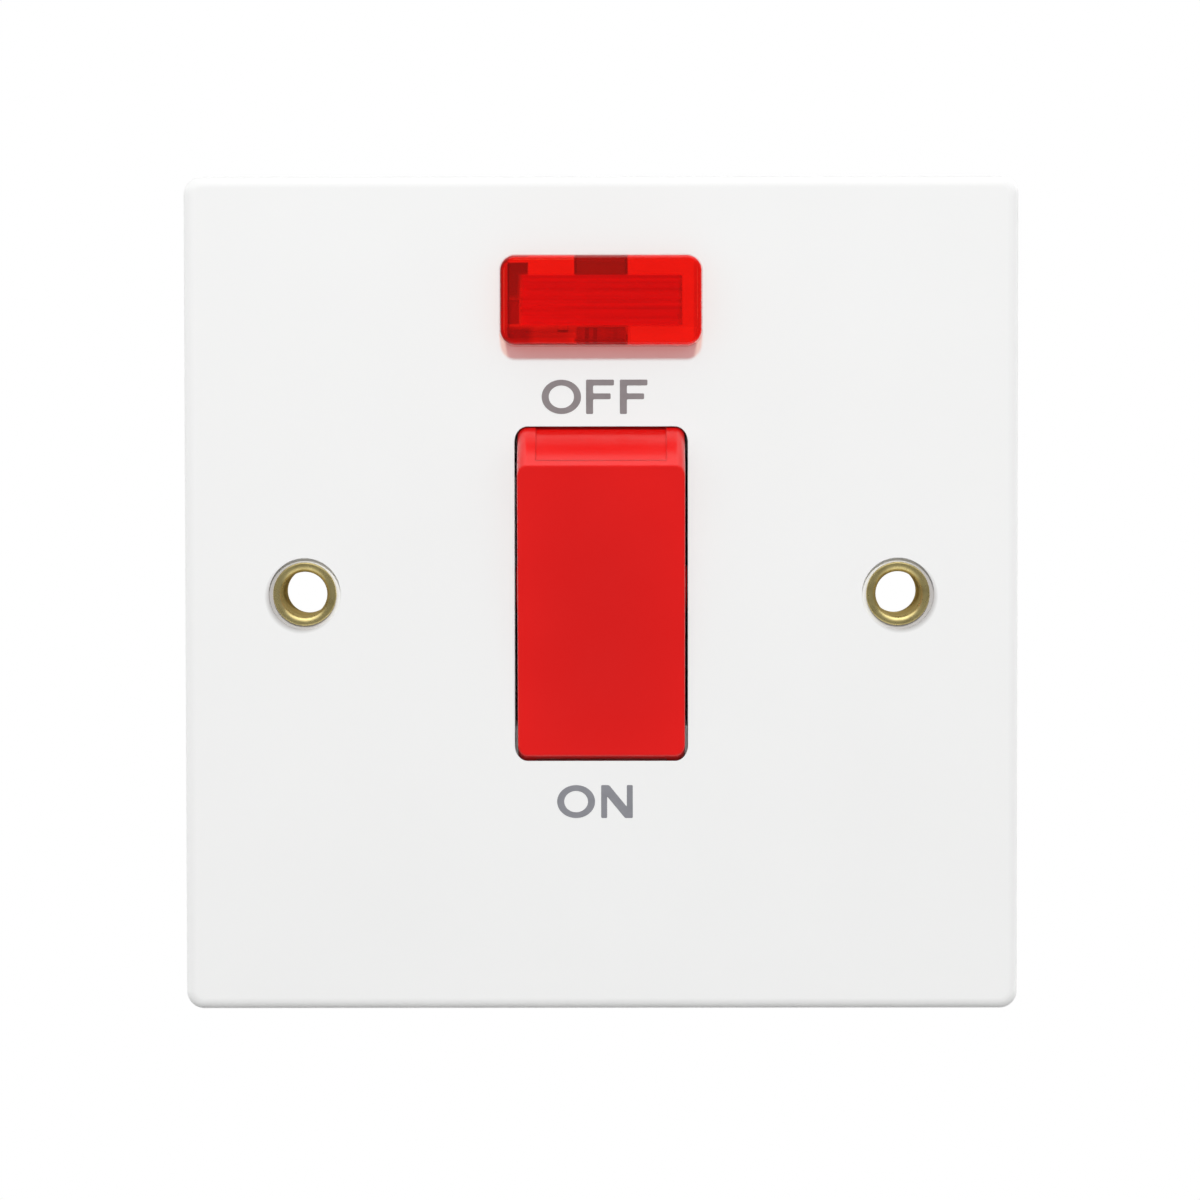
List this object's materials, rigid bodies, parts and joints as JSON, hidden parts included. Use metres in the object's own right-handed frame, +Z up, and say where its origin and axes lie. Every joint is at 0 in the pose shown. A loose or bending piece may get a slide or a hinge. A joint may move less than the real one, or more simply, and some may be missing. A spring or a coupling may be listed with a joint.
{
  "type": "double pole switch",
  "caption": "Square white wall switch with a red rocker, a raised red indicator lens, brass-lined fixing holes and a rear base with terminals and two-pole contacts.",
  "frame": {"origin": "middle of the plate's back rim, on the wall plane", "axes": "+X right seen from the front, +Y back into the wall, +Z up"},
  "size_m": [0.085, 0.0359, 0.085],
  "materials": {
    "plate_white": "glossy moulded urea",
    "rocker_red": "satin moulded plastic",
    "lens_red": "clear tinted plastic",
    "eyelet_brass": "bright rolled sheet",
    "base_moulding": "matt moulded plastic",
    "terminal_brass": "machined",
    "arm_copper": "rolled copper alloy",
    "contact_silver": "silver alloy",
    "screw_steel": "zinc plated",
    "spring_steel": "drawn wire",
    "plunger_nylon": "moulded nylon",
    "lamp_glass": "clear glass",
    "wire_metal": "tinned wire",
    "resistor_body": "lacquered",
    "lead_sleeve": "insulated wire"
  },
  "bodies": {
    "housing": {"ballast_resistor": "resistor_body", "base_screws": "screw_steel", "earth_terminal": "terminal_brass", "fixed_contact_live": "contact_silver", "fixed_contact_neutral": "contact_silver", "fixing_eyelet_left": "eyelet_brass", "fixing_eyelet_right": "eyelet_brass", "front_plate": "plate_white", "load_terminal_live": "terminal_brass", "load_terminal_neutral": "terminal_brass", "neon_electrodes": "wire_metal", "neon_glass": "lamp_glass", "neon_lead_live": "lead_sleeve", "neon_lead_neutral": "lead_sleeve", "neon_lens": "lens_red", "neon_tray": "base_moulding", "resistor_link": "wire_metal", "retaining_frame": "base_moulding", "supply_terminal_live": "terminal_brass", "supply_terminal_neutral": "terminal_brass", "switch_base": "base_moulding"},
    "rocker": {"rocker": "rocker_red", "plunger_spring_live": "spring_steel", "plunger_spring_neutral": "spring_steel"},
    "plunger_live": {"plunger_live": "plunger_nylon"},
    "contact_arm_live": {"contact_arm_live": "arm_copper", "moving_contact_live": "contact_silver"},
    "load_screw_live": {"load_screw_live": "screw_steel"},
    "supply_screw_live": {"supply_screw_live": "screw_steel"},
    "plunger_neutral": {"plunger_neutral": "plunger_nylon"},
    "contact_arm_neutral": {"contact_arm_neutral": "arm_copper", "moving_contact_neutral": "contact_silver"},
    "load_screw_neutral": {"load_screw_neutral": "screw_steel"},
    "supply_screw_neutral": {"supply_screw_neutral": "screw_steel"},
    "earth_screw": {"earth_screw": "screw_steel"}
  },
  "joints": [
    {"name": "rocker_tilt", "type": "hinge", "parent": "housing", "child": "rocker", "pos_m": [0, 0.0025, 0], "axis": [1, 0, 0], "range_deg": [-14, 0]},
    {"name": "contact_swing_live", "type": "hinge", "parent": "housing", "child": "contact_arm_live", "pos_m": [-0.0042, 0.01385, 0], "axis": [1, 0, 0], "range_deg": [0, 16]},
    {"name": "plunger_press_live", "type": "slide", "parent": "rocker", "child": "plunger_live", "axis": [0, -0.9925, -0.1219], "range_m": [0, 0.001], "stiffness_N_per_m": 2000, "springref_m": -0.002, "deforming": ["plunger_spring_live"]},
    {"name": "load_clamp_live", "type": "slide", "parent": "housing", "child": "load_screw_live", "axis": [0, -1, 0], "range_m": [0, 0.0035]},
    {"name": "supply_clamp_live", "type": "slide", "parent": "housing", "child": "supply_screw_live", "axis": [0, -1, 0], "range_m": [0, 0.0035]},
    {"name": "contact_swing_neutral", "type": "hinge", "parent": "housing", "child": "contact_arm_neutral", "pos_m": [0.0042, 0.01385, 0], "axis": [1, 0, 0], "range_deg": [0, 16]},
    {"name": "plunger_press_neutral", "type": "slide", "parent": "rocker", "child": "plunger_neutral", "axis": [0, -0.9925, -0.1219], "range_m": [0, 0.001], "stiffness_N_per_m": 2000, "springref_m": -0.002, "deforming": ["plunger_spring_neutral"]},
    {"name": "load_clamp_neutral", "type": "slide", "parent": "housing", "child": "load_screw_neutral", "axis": [0, -1, 0], "range_m": [0, 0.0035]},
    {"name": "supply_clamp_neutral", "type": "slide", "parent": "housing", "child": "supply_screw_neutral", "axis": [0, -1, 0], "range_m": [0, 0.0035]},
    {"name": "earth_clamp", "type": "slide", "parent": "housing", "child": "earth_screw", "axis": [0, -1, 0], "range_m": [0, 0.0035]}
  ],
  "couplings": [
    {"joint": "contact_swing_live", "follows": "rocker_tilt", "ratio": -1.1429},
    {"joint": "contact_swing_neutral", "follows": "rocker_tilt", "ratio": -1.1429}
  ]
}
